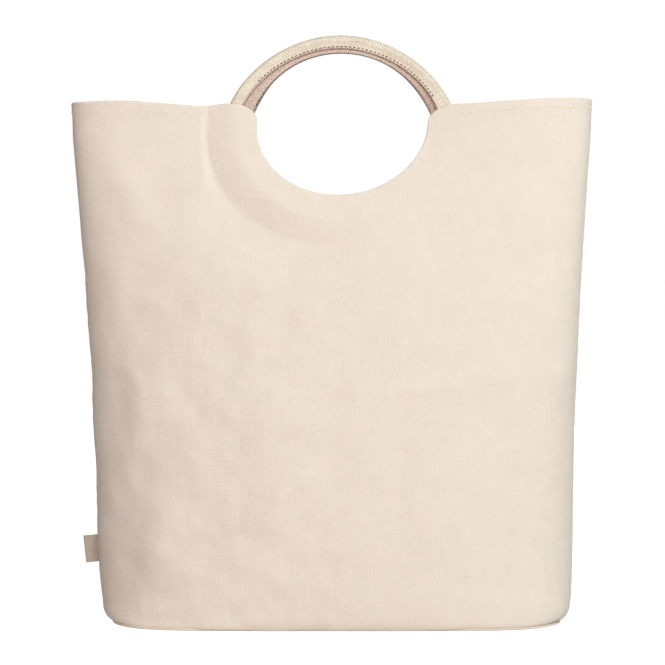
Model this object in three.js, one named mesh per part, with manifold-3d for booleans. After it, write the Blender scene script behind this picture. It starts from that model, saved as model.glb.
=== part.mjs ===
// Canvas tote bag with a round hand hole, short handles of folded webbing and an oval base.
// Millimetres, +Z up. The bag stands on Z = 0, its front faces -Y and its width runs along X.
import * as THREE from "three";
import { mergeVertices } from "three/addons/utils/BufferGeometryUtils.js";
import Module from "manifold-3d";

const wasm = await Module();
wasm.setup();

// Cloth and sewing
const CANVAS = 1.5; // wall of heavy cotton canvas
const SEWN_GAP = 0.3; // clearance between pieces that are sewn together
const SAME_POINT = 1e-3; // points closer than this are one
const BASE_THICKNESS = 2; // base panel with its turned edge
const BASE_LIP = 0.5; // how far the base's edge stands out past the wall above it

// Sections of the bag from the base seam to the rim; squareness 2 is an ellipse, and more is boxier.
// The soft bag leans a little to its left, so its lower sections are shifted to the right, and its
// left side is rounder than its right.
const SECTIONS = [
  { height: 3, shift: 3.6, halfWidth: 205.6, halfDepth: 85.5, left: 3.6, right: 3.8 },
  { height: 7, shift: 3.3, halfWidth: 211.2, halfDepth: 87, left: 3.1, right: 3.5 },
  { height: 15, shift: 3.1, halfWidth: 214.6, halfDepth: 87.7, left: 2.8, right: 3.3 },
  { height: 40, shift: 2.7, halfWidth: 217.2, halfDepth: 88, left: 2.45, right: 2.9 },
  { height: 110, shift: 2.1, halfWidth: 219.7, halfDepth: 86, left: 2.25, right: 2.65 },
  { height: 200, shift: 1.5, halfWidth: 222.5, halfDepth: 79, left: 2.25, right: 2.75 },
  { height: 295, shift: 0.5, halfWidth: 227.5, halfDepth: 67, left: 2.4, right: 3.1 },
  { height: 390, shift: -0.5, halfWidth: 234.3, halfDepth: 53, left: 3.2, right: 3.5 },
  { height: 440, shift: -0.7, halfWidth: 238, halfDepth: 46.5, left: 3.9, right: 3.9 },
  { height: 480, shift: -0.6, halfWidth: 239.7, halfDepth: 43, left: 4.4, right: 4.2 },
];
const SECTION_SAMPLES = 400; // steps that measure the length of a section

// Rim: its rise above its lowest height along the front, with a dip where a crease runs into it
const RIM_HEIGHT = 472;
const RIM = [
  { x: -240, rise: 3.6 },
  { x: -225, rise: 3.4 },
  { x: -205, rise: 3.5 },
  { x: -185, rise: 3.3 },
  { x: -165, rise: 1.7 },
  { x: -150, rise: 0.6 },
  { x: -118, rise: -1.3 },
  { x: -95, rise: 1 },
  { x: 115, rise: 0.6 },
  { x: 155, rise: 3 },
  { x: 195, rise: 5.8 },
  { x: 220, rise: 6.6 },
  { x: 240, rise: 7 },
];
const RIM_EASING = 4; // power of the height by which the rise grows up the panel

// Hand hole: the lower half of an oval below two upright sides that round off into the rim along
// quarters of an oval, leaning by a tilt in degrees
const HOLE = {
  offset: 9,
  depth: 65,
  middleHeight: 454,
  cornerAcross: 26,
  cornerUp: 16,
  cornerTop: 474,
  tilt: 4,
};

// The cloth about the hole leans in where the handles draw it, and a crease runs round it further
// out: a long slope on the inside and an outer wall that is steep high up and flat lower down
const PINCH = { depth: 8, halfWidth: 125, startHeight: 320, flatness: 4 };
const CREASE = {
  halfWidth: 124,
  depth: 110,
  squareness: 2.05,
  deep: 6.5,
  innerWall: 24,
  innerBend: 1.4,
  steepWall: 14,
  steepAbove: 432,
  flatWall: 75,
  flatBelow: 352,
  fadeFrom: -60,
  fadeTo: 55,
};

// Soft folds; slant in degrees from X, and a positive rise stands out of the bag
const FRONT_FOLDS = [
  { x: -184, z: 390, slant: -56, length: 28, width: 14, rise: 3 },
  { x: -166, z: 362, slant: -15, length: 22, width: 10, rise: 1.6 },
  { x: -176, z: 194, slant: 88, length: 28, width: 14, rise: 5.6 },
  { x: -168, z: 80, slant: 96, length: 30, width: 17, rise: 6.6 },
  { x: -180, z: 136, slant: 0, length: 16, width: 15, rise: -2.6 },
  { x: -197, z: 298, slant: 78, length: 22, width: 13, rise: 3.4 },
  { x: -75, z: 150, slant: 80, length: 75, width: 42, rise: 1.4 },
  { x: -52, z: 118, slant: 60, length: 34, width: 15, rise: 1.4 },
  { x: -100, z: 78, slant: 20, length: 30, width: 13, rise: -1.6 },
  { x: 86, z: 440, slant: 84, length: 34, width: 11, rise: -1.6 },
  { x: 104, z: 217, slant: 7, length: 62, width: 9, rise: 1.1 },
  { x: 60, z: 140, slant: 87, length: 70, width: 9, rise: -0.9 },
  { x: 214, z: 226, slant: 10, length: 26, width: 20, rise: 6 },
  { x: 186, z: 150, slant: 84, length: 60, width: 13, rise: 1.2 },
];
const BACK_FOLDS = [
  { x: 190, z: 375, slant: 30, length: 55, width: 18, rise: 3.5 },
  { x: 110, z: 170, slant: -60, length: 70, width: 20, rise: -2.5 },
  { x: -130, z: 215, slant: -5, length: 95, width: 16, rise: 2 },
  { x: -150, z: 110, slant: 70, length: 60, width: 20, rise: -2.5 },
];

// Handles: webbing folded lengthwise round the outside of a nearly circular arch, with its two edges
// sewn together as a flat flange over the arch's top. The arches lean in, and at the top a gap is left
// between the two handles.
const WEBBING = { width: 32, thickness: 2, openFold: 2.75, sewnFold: 3.8, flange: 4, flangeBend: 3 };
const FULL_PINCH = 30; // degrees by which each leg of the sewn webbing slopes in to the flange
const ARCH = { offset: 7.3, halfWidth: 111.7, rise: 114.8, middleHeight: 423.5, halfGap: 5.5, lean: 16 };
const TAB_LENGTH = 14; // straight end below the arch, sewn inside the panel
// How far the webbing is folded and pinched, by the angle from the arch's top to the right, in
// degrees: folded 180 is doubled and 0 is flat. The rear leg reaches further in than the front one,
// by lengths that differ between the two handles.
const FOLDING = [
  { fromTop: -90, folded: 0, pinched: 0, frontReach: 0, backReach: 0 },
  { fromTop: -84, folded: 60, pinched: 0, frontReach: 1, backReach: 0 },
  { fromTop: -77, folded: 150, pinched: 0, frontReach: 3, backReach: 0 },
  { fromTop: -66, folded: 176, pinched: 0, frontReach: 5, backReach: 0 },
  { fromTop: -52, folded: 179, pinched: 8, frontReach: 5, backReach: 0 },
  { fromTop: -38, folded: 180, pinched: 24, frontReach: 3, backReach: 0 },
  { fromTop: -20, folded: 180, pinched: 30, frontReach: 1, backReach: 0 },
  { fromTop: 15, folded: 180, pinched: 30, frontReach: 0, backReach: 1 },
  { fromTop: 40, folded: 180, pinched: 26, frontReach: 3, backReach: 3 },
  { fromTop: 55, folded: 178, pinched: 12, frontReach: 2, backReach: 6 },
  { fromTop: 66, folded: 174, pinched: 2, frontReach: 0, backReach: 7 },
  { fromTop: 77, folded: 140, pinched: 0, frontReach: 0, backReach: 4 },
  { fromTop: 84, folded: 60, pinched: 0, frontReach: 0, backReach: 1 },
  { fromTop: 90, folded: 0, pinched: 0, frontReach: 0, backReach: 0 },
];

// Blank folded tape label in the left side seam
const LABEL = { tall: 25, standsOut: 13, sewnIn: 6, tape: 0.9, slit: 0.4, height: 66, tilt: 5 };

// Grid and facet counts
const PANEL_COLUMNS = 34;
const PANEL_ROWS = 24;
const SEAM_CROWDING = 0.3; // columns crowd this much towards the side seams
const BASE_CROWDING = 0.8; // rows crowd this much towards the base
const BASE_SIDES = 64;
const HOLE_SEGMENTS = 24;
const LABEL_SEGMENTS = 6;
const ARCH_STEPS = 28;
const STRIP_PLACES = [0, 2.5, 5.5, 8.25, 10.8, 13.4, 16, 18.6, 21.2, 23.75, 26.5, 29.5, 32]; // across

// A smooth curve through one column of a table
function columnOf(table, along, name) {
  const curve = new THREE.CubicInterpolant(
    table.map((row) => row[along]),
    table.map((row) => row[name]),
    1,
  );
  return (at) => curve.evaluate(at)[0];
}

const shiftAt = columnOf(SECTIONS, "height", "shift");
const halfWidthAt = columnOf(SECTIONS, "height", "halfWidth");
const halfDepthAt = columnOf(SECTIONS, "height", "halfDepth");
const leftSquarenessAt = columnOf(SECTIONS, "height", "left");
const rightSquarenessAt = columnOf(SECTIONS, "height", "right");
const rimRiseAt = columnOf(RIM, "x", "rise");
const foldedAt = columnOf(FOLDING, "fromTop", "folded");
const pinchedAt = columnOf(FOLDING, "fromTop", "pinched");
const frontReachAt = columnOf(FOLDING, "fromTop", "frontReach");
const backReachAt = columnOf(FOLDING, "fromTop", "backReach");

// One half of the bag's oval at a height, from the left seam round the front to the right seam
class HalfSection extends THREE.Curve {
  constructor(height, side) {
    super();
    this.height = height;
    this.middle = side.facing * shiftAt(height);
    this.arcLengthDivisions = SECTION_SAMPLES;
  }

  getPoint(t, target = new THREE.Vector3()) {
    const angle = Math.PI * t;
    const isLeft = angle < Math.PI / 2;
    const power = 2 / (isLeft ? leftSquarenessAt : rightSquarenessAt)(this.height);
    const across = Math.sign(Math.cos(angle)) * Math.abs(Math.cos(angle)) ** power;
    const out = Math.abs(Math.sin(angle)) ** power;
    const x = this.middle - halfWidthAt(this.height) * across;
    return target.set(x, -halfDepthAt(this.height) * out, this.height);
  }
}

// The middle of the leaning hole at a height, in the frame of a side
function holeMiddle(z, side) {
  const lean = Math.tan(THREE.MathUtils.degToRad(HOLE.tilt));
  return side.facing * (HOLE.offset + (z - HOLE.middleHeight) * lean);
}

// How far the crease round the hole presses the cloth in at a point
function creaseDepth(x, z, side) {
  const { halfWidth, depth, squareness } = CREASE;
  const off = x - holeMiddle(z, side);
  const across = Math.abs(off) / halfWidth;
  const below = Math.max(0, HOLE.middleHeight - z) / depth;
  const round = (across ** squareness + below ** squareness) ** (1 / squareness);
  const beyond = ((round - 1) * (halfWidth + depth)) / 2;
  const flatness = 1 - THREE.MathUtils.smoothstep(z, CREASE.flatBelow, CREASE.steepAbove);
  const wall = CREASE.steepWall * (CREASE.flatWall / CREASE.steepWall) ** flatness;
  const inner = THREE.MathUtils.clamp(1 + beyond / CREASE.innerWall, 0, 1) ** CREASE.innerBend;
  const share = beyond > 0 ? 1 - THREE.MathUtils.smoothstep(beyond, 0, wall) : inner;
  const fade = 1 - THREE.MathUtils.smoothstep(side.facing * off, CREASE.fadeFrom, CREASE.fadeTo);
  return CREASE.deep * fade * share;
}

// How far a soft fold moves the cloth out at a point
function foldRise(fold, x, z) {
  const slant = THREE.MathUtils.degToRad(fold.slant);
  const along = (x - fold.x) * Math.cos(slant) + (z - fold.z) * Math.sin(slant);
  const off = (z - fold.z) * Math.cos(slant) - (x - fold.x) * Math.sin(slant);
  return fold.rise * Math.exp(-((along / fold.length) ** 2) - (off / fold.width) ** 2);
}

// How far the cloth stands out of its smooth oval at a point, before it fades out at the side seams
function relief(x, z, side) {
  const off = x - side.facing * HOLE.offset;
  const rising = THREE.MathUtils.smoothstep(z, PINCH.startHeight, RIM_HEIGHT);
  const pinch = PINCH.depth * rising * Math.exp(-((Math.abs(off) / PINCH.halfWidth) ** PINCH.flatness));
  const start = -pinch - creaseDepth(x, z, side);
  return side.folds.reduce((sum, fold) => sum + foldRise(fold, x, z), start);
}

// A point of the cloth's outer face moved by its relief and raised towards the rim
function shaped(point, side) {
  const level = point.z / RIM_HEIGHT;
  const fade = Math.abs(point.y) / halfDepthAt(point.z);
  return new THREE.Vector3(
    point.x,
    point.y - fade * relief(point.x, point.z, side) - SEWN_GAP / 2,
    point.z + rimRiseAt(side.facing * point.x) * level ** RIM_EASING,
  );
}

// Where the outer face of a panel lies in front of a point inside the bag
function frontFaceY(x, z, side) {
  const off = x - side.facing * shiftAt(z);
  const squareness = (off < 0 ? leftSquarenessAt : rightSquarenessAt)(z);
  const out = 1 - (Math.abs(off) / halfWidthAt(z)) ** squareness;
  const y = -halfDepthAt(z) * out ** (1 / squareness);
  return shaped(new THREE.Vector3(x, y, z), side).y;
}

// A closed body from rows of points on its outer face and the same rows on its inner face
function wallGeometry(outer, inner) {
  const columns = outer[0].length;
  const points = [...outer.flat(), ...inner.flat()];
  const outerAt = (row, column) => row * columns + column;
  const innerAt = (row, column) => outer.length * columns + outerAt(row, column);
  const triangles = [];
  const quad = (a, b, c, d) => triangles.push(a, b, c, a, c, d);
  const lastRow = outer.length - 1;
  const lastColumn = columns - 1;
  for (let row = 0; row < lastRow; row++) {
    for (let column = 0; column < lastColumn; column++) {
      const corners = [[row, column], [row, column + 1], [row + 1, column + 1], [row + 1, column]];
      quad(...corners.map(([r, c]) => outerAt(r, c)));
      quad(...corners.reverse().map(([r, c]) => innerAt(r, c)));
    }
    quad(outerAt(row, 0), outerAt(row + 1, 0), innerAt(row + 1, 0), innerAt(row, 0));
    quad(
      innerAt(row, lastColumn),
      innerAt(row + 1, lastColumn),
      outerAt(row + 1, lastColumn),
      outerAt(row, lastColumn),
    );
  }
  for (let column = 0; column < lastColumn; column++) {
    quad(innerAt(0, column), innerAt(0, column + 1), outerAt(0, column + 1), outerAt(0, column));
    quad(
      outerAt(lastRow, column),
      outerAt(lastRow, column + 1),
      innerAt(lastRow, column + 1),
      innerAt(lastRow, column),
    );
  }
  const geometry = new THREE.BufferGeometry().setFromPoints(points);
  geometry.setIndex(triangles);
  return geometry;
}

// A geometry as a solid that can be cut
function solidOf(geometry) {
  const bare = geometry.clone();
  bare.deleteAttribute("normal");
  bare.deleteAttribute("uv");
  const merged = mergeVertices(bare, SAME_POINT);
  const vertProperties = merged.attributes.position.array;
  const triVerts = new Uint32Array(merged.index.array);
  return new wasm.Manifold(new wasm.Mesh({ numProp: 3, vertProperties, triVerts }));
}

function geometryOf(solid) {
  const { vertProperties, triVerts } = solid.getMesh();
  const geometry = new THREE.BufferGeometry();
  geometry.setAttribute("position", new THREE.BufferAttribute(vertProperties, 3));
  geometry.setIndex(new THREE.BufferAttribute(triVerts, 1));
  geometry.computeVertexNormals();
  return geometry;
}

// The hole's outline as a block that passes right through a panel and up past its rim
function holeCutter(side) {
  const { depth, cornerAcross, cornerUp } = HOLE;
  const { holeHalf } = side;
  const cornerTop = HOLE.cornerTop - HOLE.middleHeight;
  const cornerHeight = cornerTop - cornerUp;
  const above = cornerTop + cornerUp;
  const reach = holeHalf + cornerAcross;
  const outline = new THREE.Shape();
  outline.moveTo(-reach, above);
  outline.lineTo(-reach, cornerTop);
  outline.absellipse(-reach, cornerHeight, cornerAcross, cornerUp, Math.PI / 2, 0, true);
  outline.absellipse(0, 0, holeHalf, depth, Math.PI, 2 * Math.PI, false);
  outline.absellipse(reach, cornerHeight, cornerAcross, cornerUp, Math.PI, Math.PI / 2, true);
  outline.lineTo(reach, above);
  const through = 2 * SECTIONS[0].halfDepth;
  const block = new THREE.ExtrudeGeometry(outline, {
    depth: through,
    bevelEnabled: false,
    curveSegments: HOLE_SEGMENTS,
  });
  const middle = (z) => holeMiddle(HOLE.middleHeight + z, side);
  const lean = middle(1) - middle(0);
  const tilt = new THREE.Matrix4().makeShear(0, lean, 0, 0, 0, 0);
  block.rotateX(Math.PI / 2).applyMatrix4(tilt);
  return block.translate(middle(0), 0, HOLE.middleHeight);
}

// One side of the bag: a canvas wall from seam to seam, cut for the hole and for the label's ends
function panelGeometry(side) {
  const bottom = BASE_THICKNESS + SEWN_GAP;
  const outer = [];
  const inner = [];
  for (let row = 0; row <= PANEL_ROWS; row++) {
    const share = row / PANEL_ROWS;
    const up = share * (1 - BASE_CROWDING * (1 - share) ** 2);
    const height = THREE.MathUtils.lerp(bottom, RIM_HEIGHT, up);
    const section = new HalfSection(height, side);
    const outerRow = [];
    const innerRow = [];
    for (let column = 0; column <= PANEL_COLUMNS; column++) {
      const even = column / PANEL_COLUMNS;
      const turn = 2 * Math.PI;
      const along = even - (SEAM_CROWDING * Math.sin(turn * even)) / turn;
      const point = section.getPointAt(along);
      const tangent = section.getTangentAt(along);
      const inwards = new THREE.Vector3(-tangent.y, tangent.x, 0);
      if (column === 0) inwards.set(1, 0, 0);
      if (column === PANEL_COLUMNS) inwards.set(-1, 0, 0);
      const face = shaped(point, side);
      outerRow.push(face);
      innerRow.push(face.clone().addScaledVector(inwards, CANVAS));
    }
    outer.push(outerRow);
    inner.push(innerRow);
  }
  const label = labelGeometry(SEWN_GAP).applyMatrix4(labelPlace());
  if (side === back) label.rotateZ(Math.PI);
  const wall = solidOf(wallGeometry(outer, inner));
  return geometryOf(wall.subtract(solidOf(holeCutter(side))).subtract(solidOf(label)));
}

// The webbing's cross-section when folded and pinched by angles: points of its two faces, measured
// inwards from the arch's outside and back from the handle's front
function webbingSection(folded, pinched, rearReach) {
  const { width, thickness, openFold, sewnFold, flange, flangeBend } = WEBBING;
  const radians = THREE.MathUtils.degToRad;
  // The stretch of the strip that takes the bend
  const bent = THREE.MathUtils.lerp(
    openFold * Math.PI,
    sewnFold * radians(180 + 2 * FULL_PINCH),
    pinched / FULL_PINCH,
  );
  const line = [];
  let at = new THREE.Vector2(0, 0);
  STRIP_PLACES.forEach((place, i) => {
    const before = (middle, length) => THREE.MathUtils.clamp(0.5 - (place - middle) / length, 0, 1);
    const fold = radians(folded + 2 * pinched) * before((width - rearReach) / 2, bent);
    const flanges = before(flange, flangeBend) + before(width - flange, flangeBend);
    const heading = Math.PI - fold + radians(pinched) * flanges; // the last leg points inwards
    const direction = new THREE.Vector2(-Math.cos(heading), Math.sin(heading));
    if (i > 0) {
      const step = place - STRIP_PLACES[i - 1];
      at = at.clone().addScaledVector(line[i - 1].direction.clone().add(direction), step / 2);
    }
    line.push({ at, direction });
  });
  const face = (side) =>
    line.map(({ at, direction }) =>
      new THREE.Vector2(-direction.y, direction.x).multiplyScalar((side * thickness) / 2).add(at),
    );
  return [...face(-1), ...face(1).reverse()];
}

// A cross-section turned so that its top leans back, with its corner at nought
function leaning(loop, angle) {
  const middle = new THREE.Vector2(0, 0);
  const turned = loop.map((point) => point.clone().rotateAround(middle, -angle));
  const corner = new THREE.Box2().setFromPoints(turned).min;
  return turned.map((point) => point.sub(corner));
}

// A handle: webbing swept round its arch, folded at the top and flat where it is sewn in
function handleGeometry(side) {
  const { offset, halfWidth, rise, middleHeight, halfGap } = ARCH;
  const stations = [];
  for (let i = 0; i <= ARCH_STEPS; i++) {
    stations.push({ fromTop: THREE.MathUtils.lerp(-90, 90, i / ARCH_STEPS), below: 0 });
  }
  stations.unshift({ fromTop: -90, below: TAB_LENGTH });
  stations.push({ fromTop: 90, below: TAB_LENGTH });
  const rings = stations.map(({ fromTop, below }) => {
    const angle = THREE.MathUtils.degToRad(fromTop);
    const outward = new THREE.Vector3(Math.sin(angle), 0, Math.cos(angle));
    const edge = outward.clone().multiply(new THREE.Vector3(halfWidth, 0, rise));
    edge.add(new THREE.Vector3(side.facing * offset, 0, middleHeight - below));
    const folding = [foldedAt, pinchedAt, side.rearReachAt].map((at) => at(fromTop));
    const back = THREE.MathUtils.degToRad(ARCH.lean) * Math.cos(angle) ** 2;
    const section = leaning(webbingSection(...folding), back);
    // The front of the webbing stays behind the panel up to the rim, then leans in to the top
    const nearest = Math.max(
      ...section.map((p) => {
        const x = edge.x - outward.x * p.x;
        const z = Math.min(edge.z - outward.z * p.x, RIM_HEIGHT);
        return frontFaceY(x, z, side) + CANVAS + 2 * SEWN_GAP;
      }),
    );
    const depth = Math.max(...section.map((p) => p.y));
    const lean = THREE.MathUtils.smoothstep(edge.z, RIM_HEIGHT, middleHeight + rise);
    const front = THREE.MathUtils.lerp(nearest, -halfGap - depth, lean);
    return section.map((p) => {
      const point = edge.clone().addScaledVector(outward, -p.x);
      return point.setY(front + p.y);
    });
  });
  return tubeGeometry(rings);
}

// A closed body through rings of points, with flat strips as its two ends
function tubeGeometry(rings) {
  const sides = rings[0].length;
  const triangles = [];
  const at = (ring, side) => ring * sides + (side % sides);
  for (let ring = 0; ring < rings.length - 1; ring++) {
    for (let side = 0; side < sides; side++) {
      triangles.push(at(ring, side), at(ring, side + 1), at(ring + 1, side + 1));
      triangles.push(at(ring, side), at(ring + 1, side + 1), at(ring + 1, side));
    }
  }
  const last = rings.length - 1;
  for (let side = 0; side < sides / 2 - 1; side++) {
    const [a, b, c, d] = [side, side + 1, sides - 2 - side, sides - 1 - side];
    triangles.push(at(0, a), at(0, c), at(0, b), at(0, a), at(0, d), at(0, c));
    triangles.push(at(last, a), at(last, b), at(last, c), at(last, a), at(last, c), at(last, d));
  }
  const geometry = new THREE.BufferGeometry().setFromPoints(rings.flat());
  geometry.setIndex(triangles);
  geometry.computeVertexNormals();
  return geometry;
}

// Oval base: the lowest section grown by its lip, with a rounded edge
function baseGeometry() {
  const seam = SECTIONS[0];
  const edgeRound = BASE_THICKNESS / 3;
  const outline = new THREE.Shape();
  for (let i = 0; i < BASE_SIDES; i++) {
    const angle = (2 * Math.PI * (i + 0.5)) / BASE_SIDES;
    const isLeft = Math.cos(angle) * Math.sin(angle) > 0; // as seen from outside either wall
    const power = 2 / (isLeft ? seam.left : seam.right);
    const across = Math.sign(Math.cos(angle)) * Math.abs(Math.cos(angle)) ** power;
    const out = Math.sign(Math.sin(angle)) * Math.abs(Math.sin(angle)) ** power;
    const grown = BASE_LIP - edgeRound;
    const point = [seam.shift + (seam.halfWidth + grown) * across, (seam.halfDepth + grown) * out];
    if (i === 0) outline.moveTo(...point);
    else outline.lineTo(...point);
  }
  const geometry = new THREE.ExtrudeGeometry(outline, {
    depth: BASE_THICKNESS - 2 * edgeRound,
    bevelThickness: edgeRound,
    bevelSize: edgeRound,
    bevelSegments: 1,
  });
  return geometry.translate(0, 0, edgeRound);
}

// Folded tape seen from above, its fold at -X, made larger all round by a clearance
function labelGeometry(clearance) {
  const { tall, standsOut, sewnIn, tape, slit } = LABEL;
  const half = tape + slit / 2 + clearance;
  const foldMiddle = -standsOut - clearance + half;
  const outline = new THREE.Shape();
  outline.moveTo(sewnIn + clearance, half);
  outline.lineTo(foldMiddle, half);
  outline.absarc(foldMiddle, 0, half, Math.PI / 2, (3 * Math.PI) / 2, false);
  outline.lineTo(sewnIn + clearance, -half);
  if (clearance === 0) {
    outline.lineTo(sewnIn, -slit / 2);
    outline.absarc(foldMiddle, 0, slit / 2, (3 * Math.PI) / 2, Math.PI / 2, true);
    outline.lineTo(sewnIn, slit / 2);
  }
  const geometry = new THREE.ExtrudeGeometry(outline, {
    depth: tall + 2 * clearance,
    bevelEnabled: false,
    curveSegments: LABEL_SEGMENTS,
  });
  return geometry.translate(0, 0, -tall / 2 - clearance);
}

// Where the label sits: out of the left seam, its free end drooping by the tilt
function labelPlace() {
  const tilt = new THREE.Matrix4().makeRotationY(-THREE.MathUtils.degToRad(LABEL.tilt));
  const seam = shiftAt(LABEL.height) - halfWidthAt(LABEL.height);
  return tilt.setPosition(seam, 0, LABEL.height);
}

const canvas = new THREE.MeshStandardMaterial({ color: 0xe9dccb, roughness: 0.95, metalness: 0 });
const webbing = new THREE.MeshStandardMaterial({ color: 0xe8dac5, roughness: 0.95, metalness: 0 });
const tape = new THREE.MeshStandardMaterial({ color: 0xc9c0b0, roughness: 0.9, metalness: 0 });

function piece(name, geometry, material) {
  const mesh = new THREE.Mesh(geometry, material);
  mesh.name = name;
  return mesh;
}

// The back is made as a front and turned round, so what is to one side of the bag changes its sign
const front = { facing: 1, folds: FRONT_FOLDS, holeHalf: 77.5, rearReachAt: frontReachAt };
const back = { facing: -1, folds: BACK_FOLDS, holeHalf: 81.5, rearReachAt: backReachAt };

const frontSide = new THREE.Group();
frontSide.add(piece("front_panel", panelGeometry(front), canvas));
frontSide.add(piece("front_handle", handleGeometry(front), webbing));

const backSide = new THREE.Group();
backSide.rotation.z = Math.PI;
backSide.add(piece("back_panel", panelGeometry(back), canvas));
backSide.add(piece("back_handle", handleGeometry(back), webbing));

const label = piece("side_label", labelGeometry(0), tape);
label.applyMatrix4(labelPlace());

const bag = new THREE.Group();
bag.add(frontSide, backSide, piece("base_panel", baseGeometry(), canvas), label);

export default bag;
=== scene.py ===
# %% [markdown]
# # A natural canvas tote bag
#
# The bag is two walls of undyed cotton canvas on an oval base, with a round hand hole in each wall,
# two short handles of folded webbing and a small blank tape in the side seam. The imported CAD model
# gives its size and place. This lesson dresses it in real cloth: thin sheets with turned edges,
# soft folds, stitches, a weave, and the light of a plain studio.

# %% Load the frame
import functools
import math
from types import SimpleNamespace as Sizes

import bmesh
import bpy
import numpy as np
from mathutils import Matrix, Vector, noise
from mathutils.bvhtree import BVHTree

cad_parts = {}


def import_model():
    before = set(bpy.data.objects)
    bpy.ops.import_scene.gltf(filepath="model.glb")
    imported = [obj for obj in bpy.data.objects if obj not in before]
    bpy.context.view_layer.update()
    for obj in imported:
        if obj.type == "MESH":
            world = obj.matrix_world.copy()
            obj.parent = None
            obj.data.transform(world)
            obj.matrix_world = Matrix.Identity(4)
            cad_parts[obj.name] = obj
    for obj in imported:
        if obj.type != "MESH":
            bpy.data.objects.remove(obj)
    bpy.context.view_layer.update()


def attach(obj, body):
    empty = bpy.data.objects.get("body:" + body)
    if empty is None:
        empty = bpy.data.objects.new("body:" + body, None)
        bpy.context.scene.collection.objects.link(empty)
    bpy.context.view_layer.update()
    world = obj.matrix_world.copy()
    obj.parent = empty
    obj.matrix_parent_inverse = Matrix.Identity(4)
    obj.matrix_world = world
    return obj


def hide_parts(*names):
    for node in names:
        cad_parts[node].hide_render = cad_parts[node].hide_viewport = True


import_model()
MM = 0.001

# %% [markdown]
# ## The sizes of the bag
#
# A sewn bag has no straight wall, so its form is a table of ovals from the base to the rim, the same
# one that the CAD solids use. All sizes below are in millimetres, and a mesh is turned into metres
# when it is finished. A smooth curve through each column of the table gives the oval at any height.

# %% Ovals from the base to the rim
# height, shift to the right, half width, half depth, squareness on the left and on the right
# (2 is an ellipse, and more is boxier)
OVALS = np.array([
    (3, 3.6, 205.6, 85.5, 3.6, 3.8),
    (7, 3.3, 211.2, 87, 3.1, 3.5),
    (15, 3.1, 214.6, 87.7, 2.8, 3.3),
    (40, 2.7, 217.2, 88, 2.45, 2.9),
    (110, 2.1, 219.7, 86, 2.25, 2.65),
    (200, 1.5, 222.5, 79, 2.25, 2.75),
    (295, 0.5, 227.5, 67, 2.4, 3.1),
    (390, -0.5, 234.3, 53, 3.2, 3.5),
    (440, -0.7, 238, 46.5, 3.9, 3.9),
    (480, -0.6, 239.7, 43, 4.4, 4.2),
])


def smooth_curve(at, values):
    """A function that passes smoothly through the values of a table's column."""
    slopes = np.empty(len(at))
    slopes[1:-1] = (values[2:] - values[:-2]) / (at[2:] - at[:-2])
    slopes[0] = (values[1] - values[0]) / (at[1] - at[0])
    slopes[-1] = (values[-1] - values[-2]) / (at[-1] - at[-2])

    def curve(x):
        x = np.clip(x, at[0], at[-1])
        i = np.clip(np.searchsorted(at, x) - 1, 0, len(at) - 2)
        step = at[i + 1] - at[i]
        t = (x - at[i]) / step
        start = values[i] * (1 + 2 * t) * (1 - t) ** 2 + values[i + 1] * t * t * (3 - 2 * t)
        bend = slopes[i] * t * (1 - t) ** 2 - slopes[i + 1] * t * t * (1 - t)
        return start + bend * step

    return curve


shift_at, half_width_at, half_depth_at, left_squareness_at, right_squareness_at = (
    smooth_curve(OVALS[:, 0], OVALS[:, column]) for column in range(1, 6)
)
print("half depth at 250 mm:", round(float(half_depth_at(250)), 1))

# %% [markdown]
# ## Points along an oval
#
# The cloth of a wall runs from the left side seam round the front to the right side seam. To keep its
# weave even, points are found by their distance along the cloth, and not by an angle.

# %% Half an oval at a height
TURN = np.linspace(0, np.pi, 1201)


@functools.lru_cache(maxsize=None)
def half_oval(height):
    """x, y and the length from the left seam, for points on the front half at a height."""
    across, out = np.cos(TURN), np.sin(TURN).clip(0)
    power = 2 / np.where(across > 0, left_squareness_at(height), right_squareness_at(height))
    x = float(shift_at(height)) - float(half_width_at(height)) * np.sign(across) * np.abs(across) ** power
    y = -float(half_depth_at(height)) * out**power
    run = np.concatenate(([0], np.cumsum(np.hypot(np.diff(x), np.diff(y)))))
    return x, y, run


def seam_to_seam(height):
    """Length of the cloth from one side seam to the other."""
    return half_oval(height)[2][-1]


def on_oval(share, height):
    """x, y and the distance from the left seam at a share of the way round, at each height."""
    found = np.empty((3, len(height)))
    for level in np.unique(height):
        here = height == level
        x, y, run = half_oval(level)
        want = share[here] * run[-1]
        found[:, here] = np.interp(want, run, x), np.interp(want, run, y), want
    return found


print("cloth from seam to seam in mm:", [round(seam_to_seam(h)) for h in (40, 250, 470)])

# %% [markdown]
# ## Folds and creases
#
# Canvas that has been packed flat keeps soft folds, and the facing sewn round the hand hole leaves a
# sharp crease where it ends. A cloth simulation would make folds of its own choosing, so here each one
# is placed where the real bag has it: a row of a table gives its middle, slant, length, width and how
# far it stands out. The crease is a valley with a long inner side. Its outer side begins as a short
# steep wall and goes on as an easy rise.

# %% Hand hole, crease and fold tables
RIM_HEIGHT = 472
HOLE = Sizes(offset=9, depth=65, middle_height=454, corner_across=26, corner_up=16, tilt=4)
PINCH = Sizes(depth=8, half_width=125, start_height=320, flatness=4)
CREASE = Sizes(half_width=124, depth=110, squareness=2.05, deep=6.2, inner_wall=24, inner_bend=1.4)
CREASE_OUTER_WALL = Sizes(soft=75, sharp_above=432, soft_below=352)
CREASE_EASY = Sizes(share=0.45, width=48)  # this share of the rise outside the crease is an easy one
# it fades out towards the right, between these distances left of the hole's middle
CREASE_FADE = (-55, 60)
CREASE_SHOULDER = Sizes(inside=27, width=6, rise=1.0)  # a low ridge between the crease and the hole
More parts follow.
